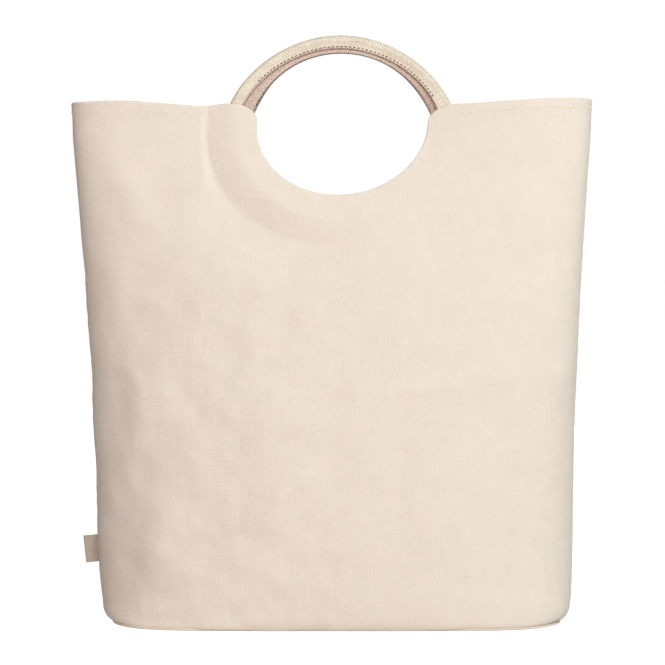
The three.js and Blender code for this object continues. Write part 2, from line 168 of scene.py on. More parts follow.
# x, z, slant in degrees, half length, half width, rise
FRONT_FOLDS = [
    (-184, 390, -56, 28, 14, 3.0),
    (-166, 362, -15, 22, 10, 1.6),
    (-176, 194, 88, 28, 14, 6.4),
    (-152, 200, 88, 34, 20, 2.8),
    (-162, 76, 96, 32, 19, 8.0),
    (-136, 84, 96, 38, 24, 3.6),
    (-186, 150, 0, 14, 12, -1.6),
    (-197, 298, 78, 22, 13, 3.4),
    (-75, 150, 80, 75, 42, 1.4),
    (-52, 118, 60, 34, 15, 1.4),
    (-100, 78, 20, 30, 13, -1.6),
    (86, 440, 84, 34, 11, -1.6),
    (104, 217, 7, 62, 9, 1.6),
    (60, 140, 87, 70, 9, -0.9),
    (214, 226, 10, 26, 20, 6.0),
    (186, 150, 84, 60, 13, 1.2),
    (-186, 140, 88, 38, 12, 2.6),
    (-162, 402, 86, 70, 38, -5.2),
]
BACK_FOLDS = [
    (190, 375, 30, 55, 18, 3.5),
    (110, 170, -60, 70, 20, -2.5),
    (-130, 215, -5, 95, 16, 2),
    (-150, 110, 70, 60, 20, -2.5),
]
# The hole behind is a little wider and the handle there a little higher, because neither shows past the
# one in front. The crease behind isn't seen, so it is a softer one.
FRONT = Sizes(
    facing=1, folds=FRONT_FOLDS, hole_half=77.5, handle_rise=114.8, crease=1, crease_wall=4.4, seed=3.7
)
BACK = Sizes(
    facing=-1, folds=BACK_FOLDS, hole_half=81.5, handle_rise=116.2, crease=0.45, crease_wall=16, seed=41.3
)


def smooth_step(x, low, high):
    t = np.clip((x - low) / (high - low), 0, 1)
    return t * t * (3 - 2 * t)


def hole_middle(z, side):
    """The middle of the leaning hand hole at a height."""
    return side.facing * (HOLE.offset + (z - HOLE.middle_height) * math.tan(math.radians(HOLE.tilt)))


def crease_depth(x, z, side):
    """How deep the crease round the hand hole presses the cloth in."""
    off = x - hole_middle(z, side)
    across = np.abs(off) / CREASE.half_width
    down = np.maximum(0, HOLE.middle_height - z) / CREASE.depth
    round_hole = (across**CREASE.squareness + down**CREASE.squareness) ** (1 / CREASE.squareness)
    beyond = (round_hole - 1) * (CREASE.half_width + CREASE.depth) / 2
    lie = CREASE_OUTER_WALL
    sharp = side.crease_wall
    wall = sharp * (lie.soft / sharp) ** smooth_step(z, lie.sharp_above, lie.soft_below)
    inner = (1 + beyond / CREASE.inner_wall).clip(0, 1) ** CREASE.inner_bend
    outer = CREASE_EASY.share * smooth_step(beyond, 0, CREASE_EASY.width)
    outer = 1 - (1 - CREASE_EASY.share) * smooth_step(beyond, 0, wall) - outer
    profile = np.where(beyond > 0, outer, inner)
    ridge = CREASE_SHOULDER
    shoulder = ridge.rise * np.exp(-(((beyond + ridge.inside) / ridge.width) ** 2))
    deep = side.crease * (CREASE.deep * profile - shoulder)
    return deep * smooth_step(-side.facing * off, *CREASE_FADE)


def relief(x, z, side):
    """How far the cloth stands out of its smooth oval."""
    lean = smooth_step(z, PINCH.start_height, RIM_HEIGHT)
    off = np.abs(x - side.facing * HOLE.offset) / PINCH.half_width
    out = -PINCH.depth * lean * np.exp(-(off**PINCH.flatness)) - crease_depth(x, z, side)
    for fold_x, fold_z, slant, length, width, rise in side.folds:
        cos, sin = math.cos(math.radians(slant)), math.sin(math.radians(slant))
        along = (x - fold_x) * cos + (z - fold_z) * sin
        off = (z - fold_z) * cos - (x - fold_x) * sin
        out = out + rise * np.exp(-((along / length) ** 2) - (off / width) ** 2)
    return out


print("folds on the front and back:", len(FRONT_FOLDS), len(BACK_FOLDS))

# %% [markdown]
# ## From the smooth oval to the shaped cloth
#
# The rim isn't level: it rises towards the side seams and dips where the crease runs into it. A point
# of the oval moves out by its relief, which fades at the seams because the seams hold the cloth, and
# it moves up by its share of the rim's rise. The two walls press on each other a little at the side
# seams, as sewn cloth does, so that no light comes through.

# %% Shape a point of the cloth
SEAM_PRESS = 0.17  # how far the two walls press on each other at the side seams
# x, rise of the rim
RIM = np.array([
    (-240, 3.6), (-225, 3.4), (-205, 3.5), (-185, 3.3), (-165, 1.7), (-150, 0.6), (-118, -1.3),
    (-95, 1), (115, 0.6), (155, 3), (195, 5.8), (220, 6.6), (240, 7),
])
rim_rise_at = smooth_curve(RIM[:, 0], RIM[:, 1])
RIM_EASING = 4


def shaped(x, y, z, side):
    """Points of a wall's outer face, as rows of x, y and z."""
    fade = np.abs(y) / half_depth_at(z)
    out = y - fade * relief(x, z, side) + SEAM_PRESS / 2
    up = z + rim_rise_at(side.facing * x) * (z / RIM_HEIGHT) ** RIM_EASING
    return np.stack([x, out, up], axis=1)


def wall_face_y(x, z, side):
    """Where the outer face of a wall lies in front of a point inside the bag."""
    off = (x - side.facing * shift_at(z)) / half_width_at(z)
    square = np.where(off < 0, left_squareness_at(z), right_squareness_at(z))
    y = -half_depth_at(z) * (1 - np.abs(off) ** square).clip(0) ** (1 / square)
    return shaped(x, y, z, side)[:, 1]


middle_face = wall_face_y(np.array([0.0]), np.array([250.0]), FRONT)
print("front face at 250 mm lies at y =", round(float(middle_face[0]), 1), "mm")

# %% [markdown]
# ## A flat cloth with a hand hole
#
# A wall starts as a flat grid, like cloth on the cutting table. Cutting the hole with a boolean would
# leave long thin faces that shade badly. Instead the grid's points inside the hole are deleted, the
# ragged edge that is left is moved onto the hole's outline, and the points near it are evened out.

# %% Outline of the hand hole
CLOTH = 0.9  # thickness of the canvas
ROLL = 0.55  # radius of a turned edge, at the middle of the cloth
EDGE = ROLL + CLOTH / 2
WALL_BOTTOM = 2.2 + EDGE
WALL_TOP = RIM_HEIGHT - EDGE


def hole_outline(side):
    """Points along the rim and round the hole, seen from the front, from left to right."""
    half, deep = side.hole_half + EDGE, HOLE.depth + EDGE
    wide, tall = HOLE.corner_across - EDGE, HOLE.corner_up - EDGE
    quarter = np.linspace(0, np.pi / 2, 24)
    below = np.linspace(np.pi, 2 * np.pi, 160)
    reach = half + wide
    left_x = -reach + wide * np.sin(quarter)
    arc_z = WALL_TOP - tall + tall * np.cos(quarter)
    x = np.concatenate(([-reach - 60], left_x, half * np.cos(below), -left_x[::-1], [reach + 60]))
    oval_z = HOLE.middle_height + deep * np.sin(below)
    z = np.concatenate(([WALL_TOP], arc_z, oval_z, arc_z[::-1], [WALL_TOP]))
    return np.stack([x + hole_middle(z, side), z], axis=1)


def nearest_on(line, points):
    """The points of a line that lie nearest to the given points, and how far off they are."""
    start, step = line[:-1], np.diff(line, axis=0)
    from_start = points[:, None] - start[None]
    t = (from_start * step).sum(2) / np.maximum((step * step).sum(1), 1e-12)
    spots = start + np.clip(t, 0, 1)[..., None] * step
    far = np.linalg.norm(points[:, None] - spots, axis=2)
    best = far.argmin(axis=1)
    rows = np.arange(len(points))
    return spots[rows, best], far[rows, best]


def inside_hole(x, z, side):
    """Which points of the cloth fall in the hand hole."""
    off = np.abs(x - hole_middle(z, side))
    half, deep = side.hole_half + EDGE, HOLE.depth + EDGE
    wide, tall = HOLE.corner_across - EDGE, HOLE.corner_up - EDGE
    down = np.clip((HOLE.middle_height - z) / deep, 0, 1)
    up = np.clip((z - (WALL_TOP - tall)) / tall, 0, 1)
    width = half * np.sqrt(1 - down**2) + wide * (1 - np.sqrt(1 - up**2))
    return (off < width) & (z > HOLE.middle_height - deep)


print("points on the outline of the hole:", len(hole_outline(FRONT)))

# %% Flat grid, cut and evened out
COLUMNS, ROWS = 214, 178
SEAM_CROWDING, SEAM_REACH = 1.2, 0.03  # columns crowd this much more at the side seams
CREASE_CROWDING = 2.0  # and this much more at the crease's steep part
CREASE_SHARE, CREASE_REACH = 0.262, 0.022  # its place from the left seam, as a share of the way across
FOOT_ROWS = (0.06, 16)  # share of the rows, and the height that they reach, for the round foot
HEM_ROWS = (0.93, 452)  # from this share of the rows and height up, the rows are closer
CUT_MARGIN = 1.2
EVEN_REACH, EVEN_ROUNDS = 14, 30


def crowded(even, side):
    """Even places across the cloth from 0 to 1, drawn closer together at the seams and the crease."""
    place = np.linspace(0, 1, 2001)
    own = place if side is FRONT else 1 - place
    closeness = 1 + SEAM_CROWDING * (np.exp(-place / SEAM_REACH) + np.exp((place - 1) / SEAM_REACH))
    closeness += CREASE_CROWDING * np.exp(-(((own - CREASE_SHARE) / CREASE_REACH) ** 2))
    columns = np.concatenate(([0], np.cumsum((closeness[1:] + closeness[:-1]) / 2)))
    return np.interp(even, columns / columns[-1], place)


def deselect_all():
    bpy.ops.object.select_all(action="DESELECT")


def flat_grid(name, columns, rows):
    """A flat grid of faces, one metre square."""
    deselect_all()
    bpy.ops.mesh.primitive_grid_add(x_subdivisions=columns, y_subdivisions=rows, size=1)
    made = bpy.context.object
    made.name = made.data.name = name
    return made


def edge_loop(bm, start):
    """The cloth's outer edge as a list of points, clockwise as seen from the front."""
    loop, here, before = [start], start, None
    while True:
        ways = [e.other_vert(here) for e in here.link_edges if e.is_boundary]
        ways = [v for v in ways if v is not before]
        if before is None:
            ways.sort(key=lambda v: -v.co.z)
        before, here = here, ways[0]
        if here is start:
            return loop
        loop.append(here)


def cut_and_even(bm, x, z, side):
    """Cuts the hand hole into a flat grid; returns the points' new x and z, and which ones moved."""
    line = hole_outline(side)
    spots = np.stack([x, z], axis=1)
    far = nearest_on(line, spots)[1]
    gone = inside_hole(x, z, side) & (far > CUT_MARGIN)
    bmesh.ops.delete(bm, geom=[v for v, g in zip(bm.verts, gone) if g], context="VERTS")
    bm.verts.index_update()
    spots, far = spots[~gone], far[~gone]
    near = far < EVEN_REACH
    rim = np.array([v.is_boundary for v in bm.verts])
    edge = np.flatnonzero(near & rim)
    inner = np.flatnonzero(near & ~rim)
    verts = list(bm.verts)
    along = [[e.other_vert(verts[i]).index for e in verts[i].link_edges if e.is_boundary] for i in edge]
    about = [[e.other_vert(verts[i]).index for e in verts[i].link_edges] for i in inner]
    spots[edge] = nearest_on(line, spots[edge])[0]
    for _ in range(EVEN_ROUNDS):
        drawn = np.array([spots[pair].mean(axis=0) for pair in along])
        spots[edge] = nearest_on(line, (spots[edge] + drawn) / 2)[0]
        spots[inner] = np.array([spots[ring].mean(axis=0) for ring in about])
    return spots[:, 0], spots[:, 1], near, gone


# %% [markdown]
# ## Fine unevenness
#
# Sewn cloth is never quite smooth. Stitches draw it together, so it puckers along the seams and
# presses in along a stitch line, and between them it ripples a little. These small moves go along the
# cloth's normals, from smooth noise with a fixed seed, so that every run gives the same bag.

# %% Ripples, puckers and the pressed hem
HEM_STITCH = 8.0  # distance of the hem's stitch line below the rim
SOFT = Sizes(large=0.45, large_size=48, small=0.2, small_size=19)
CRUMPLE = Sizes(across=(-150, 60), up=(270, 370), large=1.5, large_size=29, small=0.6, small_size=13)
SEAM_PUCKER = Sizes(rise=0.5, size=8, reach=8, drawn=0.3)
RIM_PUCKER = Sizes(rise=0.25, size=7, reach=11, drawn=0.4)
BASE_PUCKER = Sizes(rise=0.5, size=11, reach=9, drawn=0.3)
PRESSED = Sizes(stitch=0.15, stitch_width=1.7, hem=0.25, hem_ease=5, beside_hole=(-4, 6))


def ripple(points, size, seed):
    """Smooth noise between -1 and 1, with waves of about the given size."""
    return np.array([noise.noise(Vector((a / size, b / size, seed))) for a, b in points])


def fine_relief(x, z, from_seam, side):
    """Small moves of the cloth along its normals."""
    flat = np.stack([x, z], axis=1)
    out = SOFT.large * ripple(flat, SOFT.large_size, side.seed)
    out = out + SOFT.small * ripple(flat, SOFT.small_size, side.seed + 5)
    crumpled = smooth_step(-side.facing * x, *CRUMPLE.across) * (1 - smooth_step(z, *CRUMPLE.up))
    large = CRUMPLE.large * ripple(flat, CRUMPLE.large_size, side.seed + 21)
    out += crumpled * (large + CRUMPLE.small * ripple(flat, CRUMPLE.small_size, side.seed + 25))
    drawn = np.stack([from_seam * SEAM_PUCKER.drawn, z], axis=1)
    pucker = ripple(drawn, SEAM_PUCKER.size, side.seed + 9)
    out += SEAM_PUCKER.rise * pucker * np.exp(-from_seam / SEAM_PUCKER.reach)
    below_rim = RIM_HEIGHT - z
    rim_pucker = ripple(np.stack([x, z * RIM_PUCKER.drawn], axis=1), RIM_PUCKER.size, side.seed + 13)
    out += RIM_PUCKER.rise * rim_pucker * np.exp(-((below_rim / RIM_PUCKER.reach) ** 2))
    off_hole = np.abs(x - hole_middle(z, side)) - side.hole_half - HOLE.corner_across
    beside = smooth_step(off_hole, *PRESSED.beside_hole)
    out -= PRESSED.stitch * beside * np.exp(-(((below_rim - HEM_STITCH) / PRESSED.stitch_width) ** 2))
    out += PRESSED.hem * beside * (1 - smooth_step(below_rim, HEM_STITCH, HEM_STITCH + PRESSED.hem_ease))
    base_pucker = ripple(np.stack([x, z * BASE_PUCKER.drawn], axis=1), BASE_PUCKER.size, side.seed + 17)
    out += BASE_PUCKER.rise * base_pucker * np.exp(-(z - WALL_BOTTOM) / BASE_PUCKER.reach)
    return out


# %% [markdown]
# ## Turned edges
#
# The raw edge of canvas frays, so every edge is turned in: a hem along the rim and the hole, and a seam
# allowance at the sides and the base. From each point of the edge a short profile goes round a small
# roll and then back along the inside. The roll is what makes the cloth look like cloth and not like
# sheet metal. The flaps of the side seams get shorter near the rim and the base, so that they don't
# stand in the mouth. A Solidify modifier then gives the sheet its thickness.

# %% Profiles of turned edges and the wall's mesh
HEM_WIDTH = 9.5
ALLOWANCE = 8.0
FLAP_FOOT, FLAP_TOP, SHORTEST_FLAP = (3, 14), (4, 18), 0.1  # the side seam's flaps taper near both ends
HALF_TURN = np.radians((36, 72, 108, 144, 180))
# out past the edge, in behind the cloth
EDGE_ROLL = [(ROLL * math.sin(a), ROLL * (1 - math.cos(a))) for a in HALF_TURN]
HEM = EDGE_ROLL + [(-back, 2 * ROLL) for back in (2.5, 5.5, HEM_WIDTH)]
SEAM = EDGE_ROLL + [(-back, 2 * ROLL + deep) for back, deep in ((2.5, 0.4), (ALLOWANCE, 1.9))]
FOOT = EDGE_ROLL + [(-back, 2 * ROLL + deep) for back, deep in ((2.5, 1.0), (6, 3.6))]
# across from the middle, the wall covers the base's edge up to the first distance, and beyond the second
# one the edge shows as a lip
CORNERS = (70, 150)
FOOT_DROP, CORNER_DROP, FOOT_REACH = 1.9, 0.4, 5
CURL = Sizes(start=172, end=207, lift=1.3)  # the corners of the base curl up from the floor
SEAM_INSET = EDGE / 500  # room for the rolled edge at the side seams, as a share of the cloth's length


def at_corner(x):
    """0 along the front and the back, 1 at the rounded corners and the sides."""
    return smooth_step(np.abs(x), *CORNERS)


def curl(x):
    """How far the base and the foot of the wall are lifted at the corners."""
    return CURL.lift * smooth_step(np.abs(x), CURL.start, CURL.end)


def turn_edge(bm, chain, profile, kept, cloth):
    """Adds a turned edge along a chain of points; behind its roll a share of the flap is kept at each."""
    points = np.array([v.co for v in chain])
    normals = np.array([v.normal for v in chain])
    flat = np.array([cloth[v] for v in chain])
    forward = np.gradient(points, axis=0)
    outward = np.cross(normals, forward)
    outward /= np.linalg.norm(outward, axis=1)[:, None]
    flat_forward = np.gradient(flat, axis=0)
    flat_forward /= np.linalg.norm(flat_forward, axis=1)[:, None]
    flat_outward = np.stack([-flat_forward[:, 1], flat_forward[:, 0]], axis=1)
    roll_end = np.array(EDGE_ROLL[-1])
    last, reach, before = list(chain), 0.0, np.zeros(2)
    for k, spot in enumerate(np.array(profile)):
        reach += float(np.linalg.norm(spot - before))
        before = spot
        row = []
        for i in range(len(chain)):
            share = kept[i] if k >= len(EDGE_ROLL) else 1.0
            out, deep = roll_end + (spot - roll_end) * share
            new = bm.verts.new(points[i] + outward[i] * out - normals[i] * deep)
            cloth[new] = flat[i] + flat_outward[i] * reach
            row.append(new)
        for i in range(len(chain) - 1):
            bm.faces.new((last[i], last[i + 1], row[i + 1], row[i]))
        last = row


def write_cloth(made, bm, cloth, turned):
    """Writes the mesh in metres, with the cloth's places as a UV map."""
    places = bm.loops.layers.uv.new("cloth")
    for face in bm.faces:
        for corner in face.loops:
            corner[places].uv = Vector(cloth[corner.vert]) * MM
    if turned:
        bmesh.ops.rotate(bm, verts=bm.verts, cent=(0, 0, 0), matrix=Matrix.Rotation(math.pi, 3, "Z"))
    bmesh.ops.scale(bm, verts=bm.verts, vec=(MM, MM, MM))
    bm.to_mesh(made.data)
    bm.free()


def finish_cloth(made, bm, cloth, thickness, turned):
    """Writes a smooth sheet of cloth, and gives it its thickness."""
    for face in bm.faces:
        face.smooth = True
    write_cloth(made, bm, cloth, turned)
    bpy.context.view_layer.objects.active = made
    wall = made.modifiers.new("thickness", "SOLIDIFY")
    wall.thickness = thickness * MM
    wall.offset = 0
    wall.use_even_offset = True
    wall.use_quality_normals = True
    bpy.ops.object.modifier_apply(modifier=wall.name)
    return made


def canvas_wall(name, side):
    """One wall of the bag, from side seam to side seam."""
    made = flat_grid(name, COLUMNS, ROWS)
    bm = bmesh.new()
    bm.from_mesh(made.data)
    even = np.array([v.co[:2] for v in bm.verts]) + 0.5
    shares, heights = zip((0, WALL_BOTTOM), FOOT_ROWS, HEM_ROWS, (1, WALL_TOP))
    z = np.interp(even[:, 1], shares, heights).round(6)
    share = crowded(even[:, 0], side)
    x, y, run = on_oval(SEAM_INSET + share * (1 - 2 * SEAM_INSET), z)
    corner_of = {}
    corners = {"top left": (0, 1), "top right": (1, 1), "low right": (1, 0), "low left": (0, 0)}
    for name_of, at in corners.items():
        corner_of[name_of] = bm.verts[:][int(np.abs(even - at).sum(axis=1).argmin())]
    x = x + (side.facing - 1) * shift_at(z)
    new_x, new_z, moved, gone = cut_and_even(bm, x, z, side)
    y, run = y[~gone], run[~gone]
    for i in np.flatnonzero(moved):
        level_x, level_y, level_run = half_oval(float(new_z[i]))
        at = new_x[i] - (side.facing - 1) * float(shift_at(new_z[i]))
        y[i] = np.interp(at, level_x, level_y)
        run[i] = np.interp(at, level_x, level_run)
    length = np.array([seam_to_seam(float(h)) for h in new_z])
    points = shaped(new_x, y, new_z, side)
    drop = FOOT_DROP + (CORNER_DROP - FOOT_DROP) * at_corner(new_x)
    points[:, 2] += (curl(new_x) - drop) * np.exp((WALL_BOTTOM - new_z) / FOOT_REACH)
    cloth = {}
    for i, v in enumerate(bm.verts):
        v.co = points[i]
        cloth[v] = np.array((run[i] - length[i] / 2, new_z[i]))
    bm.normal_update()
    from_seam = np.minimum(run, length - run)
    fine = fine_relief(new_x, new_z, from_seam, side)
    for i, v in enumerate(bm.verts):
        v.co += v.normal * (fine[i] - CLOTH / 2)
    bm.normal_update()
    loop = edge_loop(bm, corner_of["top left"])
    a, b, c = (loop.index(corner_of[k]) for k in ("top right", "low right", "low left"))
    for v in loop:
        v.normal = v.normal.normalized()
    chains = [(loop[: a + 1], HEM), (loop[a : b + 1], SEAM), (loop[b : c + 1], FOOT)]
    chains.append((loop[c:] + loop[:1], SEAM))
    for chain, profile in chains:
        kept = np.ones(len(chain))
        if profile is SEAM:
            level = np.array([v.co.z for v in chain])
            kept = smooth_step(level, *FLAP_FOOT) * smooth_step(RIM_HEIGHT - level, *FLAP_TOP)
        turn_edge(bm, chain, profile, kept.clip(SHORTEST_FLAP), cloth)
    return finish_cloth(made, bm, cloth, CLOTH, side is BACK)


front_wall = canvas_wall("front_canvas", FRONT)
back_wall = canvas_wall("back_canvas", BACK)
print("faces in a wall:", len(front_wall.data.polygons))

# %% [markdown]
# ## The base
#
# The base is an oval of the same canvas, laid flat, with its edge turned up and in. The turned edge is
# the thin lip that shows under the walls. Rings of points from the middle out make an even mesh.

# %% Oval base with a turned edge
BASE_LIP, BASE_COVERED, BASE_NARROWER = 0.5, 2.9, 0.4
BASE_ROLL = 0.55
BASE_SIDES, BASE_RINGS = 220, 26
BASE_HEIGHT = 3.0
BASE_WAVE = Sizes(rise=0.5, size=60, lift=0.7, seed=77.0, edge_power=6)  # it lies flat only near its edge
LIP_WAVE = Sizes(rise=0.25, size=14, seed=91.0)


def bare_ring(name, count):
    """A ring of points, as the start of a piece."""
    deselect_all()
    bpy.ops.mesh.primitive_circle_add(vertices=count, radius=1, fill_type="NOTHING")
    made = bpy.context.object
    made.name = made.data.name = name
    return made


def base_outline(inset):
    """Points round the base's edge, as seen from above."""
    turn = np.linspace(0, 2 * np.pi, BASE_SIDES, endpoint=False)
    front = np.sin(turn) < 0
    own_left = np.where(front, np.cos(turn) < 0, np.cos(turn) > 0)
    power = 2 / np.where(own_left, left_squareness_at(BASE_HEIGHT), right_squareness_at(BASE_HEIGHT))
    half_width = float(half_width_at(BASE_HEIGHT)) - BASE_NARROWER - inset
    x = half_width * np.sign(np.cos(turn)) * np.abs(np.cos(turn)) ** power
    half_depth = float(half_depth_at(BASE_HEIGHT)) + BASE_LIP - inset - BASE_COVERED * (1 - at_corner(x))
    y = half_depth * np.sign(np.sin(turn)) * np.abs(np.sin(turn)) ** power
    return np.stack([x + float(shift_at(BASE_HEIGHT)), y], axis=1)


def canvas_base(name):
    """The oval base of the bag."""
    made = bare_ring(name, BASE_SIDES)
    bm = bmesh.new()
    cloth = {}
    middle = np.array((float(shift_at(BASE_HEIGHT)), 0.0))
    edge = base_outline(BASE_ROLL + CLOTH / 2)
    rings = []
    for share in np.linspace(0, 1, BASE_RINGS + 1)[1:]:
        flat = middle + (edge - middle) * share
        waves = (ripple(flat, BASE_WAVE.size, BASE_WAVE.seed) + BASE_WAVE.lift).clip(0)
        lift = BASE_WAVE.rise * (1 - share**BASE_WAVE.edge_power) * waves + curl(flat[:, 0])
        ring = [bm.verts.new((p[0], p[1], CLOTH / 2 + up)) for p, up in zip(flat, lift)]
        cloth.update(zip(ring, flat))
        rings.append(ring)
    centre = bm.verts.new((middle[0], middle[1], CLOTH / 2))
    cloth[centre] = middle
    for i in range(BASE_SIDES):
        j = (i + 1) % BASE_SIDES
        bm.faces.new((centre, rings[0][j], rings[0][i]))
        for inner, outer in zip(rings, rings[1:]):
            bm.faces.new((inner[i], inner[j], outer[j], outer[i]))
    outward = edge - np.roll(edge, 1, axis=0)
    outward = np.roll(outward, -1, axis=0) + outward
    outward = np.stack([outward[:, 1], -outward[:, 0]], axis=1)
    outward /= np.linalg.norm(outward, axis=1)[:, None]
    wavy = LIP_WAVE.rise * ripple(edge, LIP_WAVE.size, LIP_WAVE.seed)
    last = rings[-1]
    steps = [(BASE_ROLL * math.sin(a), BASE_ROLL * (1 - math.cos(a))) for a in HALF_TURN]
    steps += [(-back, 2 * BASE_ROLL) for back in (3, ALLOWANCE)]
    reach, before = 0.0, (0.0, 0.0)
    for out, up in steps:
        reach += math.hypot(out - before[0], up - before[1])
        before = (out, up)
        row = []
        for i in range(BASE_SIDES):
            at = edge[i] + outward[i] * (out + wavy[i] * min(1, up))
            new = bm.verts.new((at[0], at[1], CLOTH / 2 + up + curl(at[0])))
            cloth[new] = edge[i] + outward[i] * reach
            row.append(new)
        for i in range(BASE_SIDES):
            j = (i + 1) % BASE_SIDES
            bm.faces.new((last[i], last[j], row[j], row[i]))
        last = row
    bmesh.ops.recalc_face_normals(bm, faces=bm.faces)
    return finish_cloth(made, bm, cloth, CLOTH, False)


base = canvas_base("base_canvas")
print("faces in the base:", len(base.data.polygons))

# %% [markdown]
# ## The handles
#
# Each handle is a strip of cotton webbing, folded lengthwise and sewn together over the top of its
# arch, so that it is soft in the hand. Towards its ends the fold opens, and the flat ends are sewn
# inside the wall beside the hole. A flat strap is modelled directly: one cross-section, bent by a fold
# angle that changes along the arch, and swept from end to end.

# %% Fold of the webbing along the arch
WEBBING = Sizes(width=32, thickness=2, fold_radius=2.75)
ARCH = Sizes(offset=7.3, half_width=111.7, middle_height=423.5, half_gap=5.5, lean=16)
TAB, TAB_STEPS = 14, 7  # flat end below the arch
FLANGE, PINCH_ZONE, FULL_PINCH = 2.6, 2.0, 24
SEWN_FOLD = 3.85  # radius of the fold where it is sewn together and bulges
# angle from the arch's top to the right, fold angle (180 is doubled), how much the stitch line pinches
# the legs together, how much longer the rear leg is on the front handle and on the back one
FOLDING = np.array([
    (-90, 0, 0, 0, 0), (-84, 60, 0, 1.5, 0), (-77, 150, 0, 6, 0), (-66, 176, 0, 9, 0), (-52, 179, 7, 8, 0),
    (-38, 180, 19, 6, 0), (-20, 180, 24, 4.2, 0), (15, 180, 24, 3.7, 1), (40, 180, 21, 5, 3),
    (55, 178, 10, 5.6, 6), (66, 174, 2, 4.2, 7), (77, 140, 0, 2, 4), (84, 60, 0, 0.5, 1), (90, 0, 0, 0, 0),
])
folded_at, pinched_at, front_reach_at, back_reach_at = (
    smooth_curve(FOLDING[:, 0], FOLDING[:, column]) for column in range(1, 5)
)
STRIP_STEPS, ARCH_STEPS, SELVEDGE_STEPS = 40, 150, 4
OUTER_FACE = 40  # places across the outer face are counted from here on, and the inner face's from 0
CLEAR_OF_WALL = 2.1  # the wall's two layers at the hem, with a little air


def webbing_section(folded, pinched, rear_reach):
    """The webbing's closed outline, inwards from the arch and back from the front, and places across it."""
    width, thick = WEBBING.width, WEBBING.thickness
    across = np.linspace(0, width, STRIP_STEPS + 1)
    open_fold = np.pi * WEBBING.fold_radius
    sewn_fold = SEWN_FOLD * math.radians(180 + 2 * FULL_PINCH)
    fold = open_fold + (sewn_fold - open_fold) * pinched / FULL_PINCH

    def before(at, length):
        return np.clip(0.5 - (across - at) / length, 0, 1)

    turn = math.radians(folded + 2 * pinched) * before((width - rear_reach) / 2, fold)
    turn -= math.radians(pinched) * before(FLANGE, PINCH_ZONE)
    turn -= math.radians(pinched) * before(width - FLANGE, PINCH_ZONE)
    heading = np.pi - turn
    way = np.stack([-np.cos(heading), np.sin(heading)], axis=1)
    steps = (way[1:] + way[:-1]) / 2 * (width / STRIP_STEPS)
    line = np.concatenate(([[0, 0]], np.cumsum(steps, axis=0)))
    side = np.stack([-way[:, 1], way[:, 0]], axis=1) * thick / 2
    bow = np.linspace(-np.pi / 2, np.pi / 2, SELVEDGE_STEPS + 2)[1:-1]
    end = [line[-1] + way[-1] * thick / 2 * math.cos(a) + side[-1] * math.sin(a) for a in bow]
    start = [line[0] - way[0] * thick / 2 * math.cos(a) - side[0] * math.sin(a) for a in bow]
    outline = np.concatenate((line - side, end, (line + side)[::-1], start))
    end_place, start_place = (np.full(SELVEDGE_STEPS, float(at)) for at in (width, OUTER_FACE))
    places = np.concatenate((across, end_place, across[::-1] + OUTER_FACE, start_place))
    return outline - outline.min(axis=0), places


print("webbing section points:", len(webbing_section(180, 0, 0)[0]))


# %% Webbing swept round the arch
def handle_stations():
    """Angles from the top of the arch, and drops below its ends."""
    angles = np.linspace(-90, 90, ARCH_STEPS + 1)
    drops = np.linspace(TAB, 0, TAB_STEPS)[:-1]
    return [(-90.0, d) for d in drops] + [(a, 0.0) for a in angles] + [(90.0, d) for d in drops[::-1]]


def handle_ring(from_top, below, side):
    """Points round the webbing at a station, the arch's outward direction, and places across."""
    angle = math.radians(from_top)
    outward = np.array((math.sin(angle), 0, math.cos(angle)))
    middle = np.array((side.facing * ARCH.offset, 0, ARCH.middle_height - below))
    edge = middle + outward * (ARCH.half_width, 0, side.handle_rise)
    reach_at = front_reach_at if side is FRONT else back_reach_at
    section, places = webbing_section(*(float(at(from_top)) for at in (folded_at, pinched_at, reach_at)))
    back = math.radians(ARCH.lean) * math.cos(angle) ** 2
    section = section @ np.array([[math.cos(back), -math.sin(back)], [math.sin(back), math.cos(back)]])
    section -= section.min(axis=0)
    points = edge - section[:, :1] * outward
    near = wall_face_y(points[:, 0], np.minimum(points[:, 2], RIM_HEIGHT), side).max() + CLEAR_OF_WALL
    top = ARCH.middle_height + side.handle_rise
    lean = float(smooth_step(edge[2], RIM_HEIGHT, top))
    far = -ARCH.half_gap - section[:, 1].max()
    points[:, 1] = near + (far - near) * lean + section[:, 1]
    return points, places


def webbing_handle(name, side):
    """One handle of folded webbing."""
    stations = handle_stations()
    rings = [handle_ring(a, b, side) for a, b in stations]
    made = bare_ring(name, len(rings[0][0]))
    bm = bmesh.new()
    cloth = {}
    rows, run = [], 0.0
    for k, (points, places) in enumerate(rings):
        if k:
            run += float(np.linalg.norm(points.mean(axis=0) - rings[k - 1][0].mean(axis=0)))
        row = [bm.verts.new(p) for p in points]
        for v, place in zip(row, places):
            cloth[v] = np.array((place, run))
        rows.append(row)
    count = len(rows[0])
    for low, high in zip(rows, rows[1:]):
        for i in range(count):
            j = (i + 1) % count
            bm.faces.new((low[i], low[j], high[j], high[i]))
    bm.faces.new(rows[0][::-1])
    bm.faces.new(rows[-1])
    bmesh.ops.recalc_face_normals(bm, faces=bm.faces)
    for face in bm.faces:
        face.smooth = len(face.verts) == 4
    write_cloth(made, bm, cloth, side is BACK)
    return made, run


front_handle, webbing_length = webbing_handle("front_webbing", FRONT)
back_handle, _ = webbing_handle("back_webbing", BACK)
print("webbing in one handle, in mm:", round(webbing_length))

# %% [markdown]
# ## The side tape
#
# A small loop of woven tape is caught in the left side seam. It is a strip folded on itself, with the
# fold outwards, and it is left blank.

